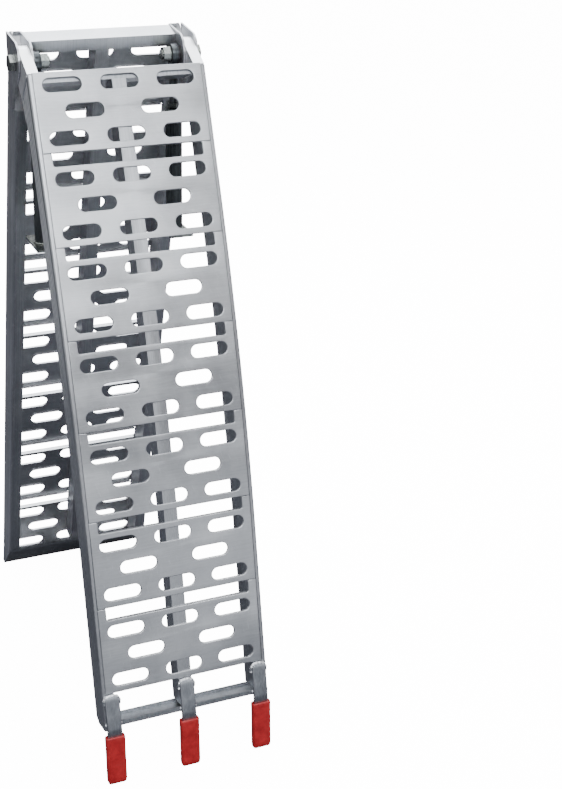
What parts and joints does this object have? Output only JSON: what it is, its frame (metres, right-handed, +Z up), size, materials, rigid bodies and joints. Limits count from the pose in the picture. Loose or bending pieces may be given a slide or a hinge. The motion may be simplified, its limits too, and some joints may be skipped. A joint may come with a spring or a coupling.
{
  "type": "folding loading ramp",
  "caption": "Folding aluminium loading ramp with punched deck, bolted centre hinge, screw-adjusted support legs and rubber-dipped hook fingers.",
  "frame": {"origin": "middle of the standing ramp's bounding box, at floor level", "axes": "+X across the ramp to the right seen from the hook half, +Y from the hook half towards the ground half, +Z up; the ramp stands part folded on its two ends"},
  "size_m": [0.3072, 0.7388, 1.1128],
  "materials": {
    "aluminium": "extruded and punched sheet, mill finish",
    "red_rubber": "red dipped soft plastic, satin",
    "zinc_bolt": "bright zinc plated fasteners",
    "zinc_steel": "dull dark zinc plated steel"
  },
  "bodies": {
    "ground_half": {"ground_centre_beam": "aluminium", "ground_deck_panel_1": "aluminium", "ground_deck_panel_2": "aluminium", "ground_deck_panel_3": "aluminium", "ground_deck_panel_4": "aluminium", "ground_deck_panel_5": "aluminium", "ground_deck_panel_6": "aluminium", "ground_deck_panel_7": "aluminium", "ground_deck_panel_8": "aluminium", "ground_end_plate": "aluminium", "ground_hinge_crossbar": "aluminium", "ground_hinge_web_left": "aluminium", "ground_hinge_web_right": "aluminium", "ground_inner_cheek_left": "aluminium", "ground_inner_cheek_right": "aluminium", "ground_outer_cheek_left": "aluminium", "ground_outer_cheek_right": "aluminium", "ground_rail_cap_left": "aluminium", "ground_rail_cap_right": "aluminium", "ground_rail_left": "aluminium", "ground_rail_right": "aluminium", "hinge_bolt_left": "zinc_bolt", "hinge_bolt_right": "zinc_bolt", "hinge_nut_left": "zinc_bolt", "hinge_nut_right": "zinc_bolt"},
    "hook_half": {"hook_centre_beam": "aluminium", "hook_deck_panel_1": "aluminium", "hook_deck_panel_2": "aluminium", "hook_deck_panel_3": "aluminium", "hook_deck_panel_4": "aluminium", "hook_deck_panel_5": "aluminium", "hook_deck_panel_6": "aluminium", "hook_deck_panel_7": "aluminium", "hook_end_crossbar": "aluminium", "hook_finger_centre": "aluminium", "hook_finger_left": "aluminium", "hook_finger_right": "aluminium", "hook_hinge_bracket_left": "aluminium", "hook_hinge_bracket_right": "aluminium", "hook_hinge_crossbar": "aluminium", "hook_rail_cap_left": "aluminium", "hook_rail_cap_right": "aluminium", "hook_rail_left": "aluminium", "hook_rail_right": "aluminium", "hook_sleeve_centre": "red_rubber", "hook_sleeve_left": "red_rubber", "hook_sleeve_right": "red_rubber"},
    "leg_left": {"leg_eye_rod_left": "zinc_steel", "leg_lock_nut_left": "zinc_steel"},
    "leg_left_foot": {"leg_tube_nut_left": "zinc_bolt", "leg_tube_left": "zinc_steel", "foot_plate_left": "zinc_steel"},
    "leg_right": {"leg_eye_rod_right": "zinc_steel", "leg_lock_nut_right": "zinc_steel"},
    "leg_right_foot": {"leg_tube_nut_right": "zinc_bolt", "leg_tube_right": "zinc_steel", "foot_plate_right": "zinc_steel"}
  },
  "joints": [
    {"name": "fold", "type": "hinge", "parent": "ground_half", "child": "hook_half", "pos_m": [0, 0.02625, 1.07446], "axis": [-1, 0, 0], "range_deg": [-21.9, 142.3]},
    {"name": "leg_left_swing", "type": "hinge", "parent": "ground_half", "child": "leg_left", "pos_m": [-0.111, 0.02625, 1.07446], "axis": [-1, 0, 0], "range_deg": [-8.4, 54.2]},
    {"name": "leg_right_swing", "type": "hinge", "parent": "ground_half", "child": "leg_right", "pos_m": [0.111, 0.02625, 1.07446], "axis": [-1, 0, 0], "range_deg": [-8.4, 54.2]},
    {"name": "leg_left_height", "type": "slide", "parent": "leg_left", "child": "leg_left_foot", "axis": [0, 0, -1], "range_m": [0, 0.04]},
    {"name": "leg_right_height", "type": "slide", "parent": "leg_right", "child": "leg_right_foot", "axis": [0, 0, -1], "range_m": [0, 0.04]}
  ],
  "couplings": [
    {"joint": "leg_left_swing", "follows": "fold", "ratio": 0.38},
    {"joint": "leg_right_swing", "follows": "fold", "ratio": 0.38}
  ]
}
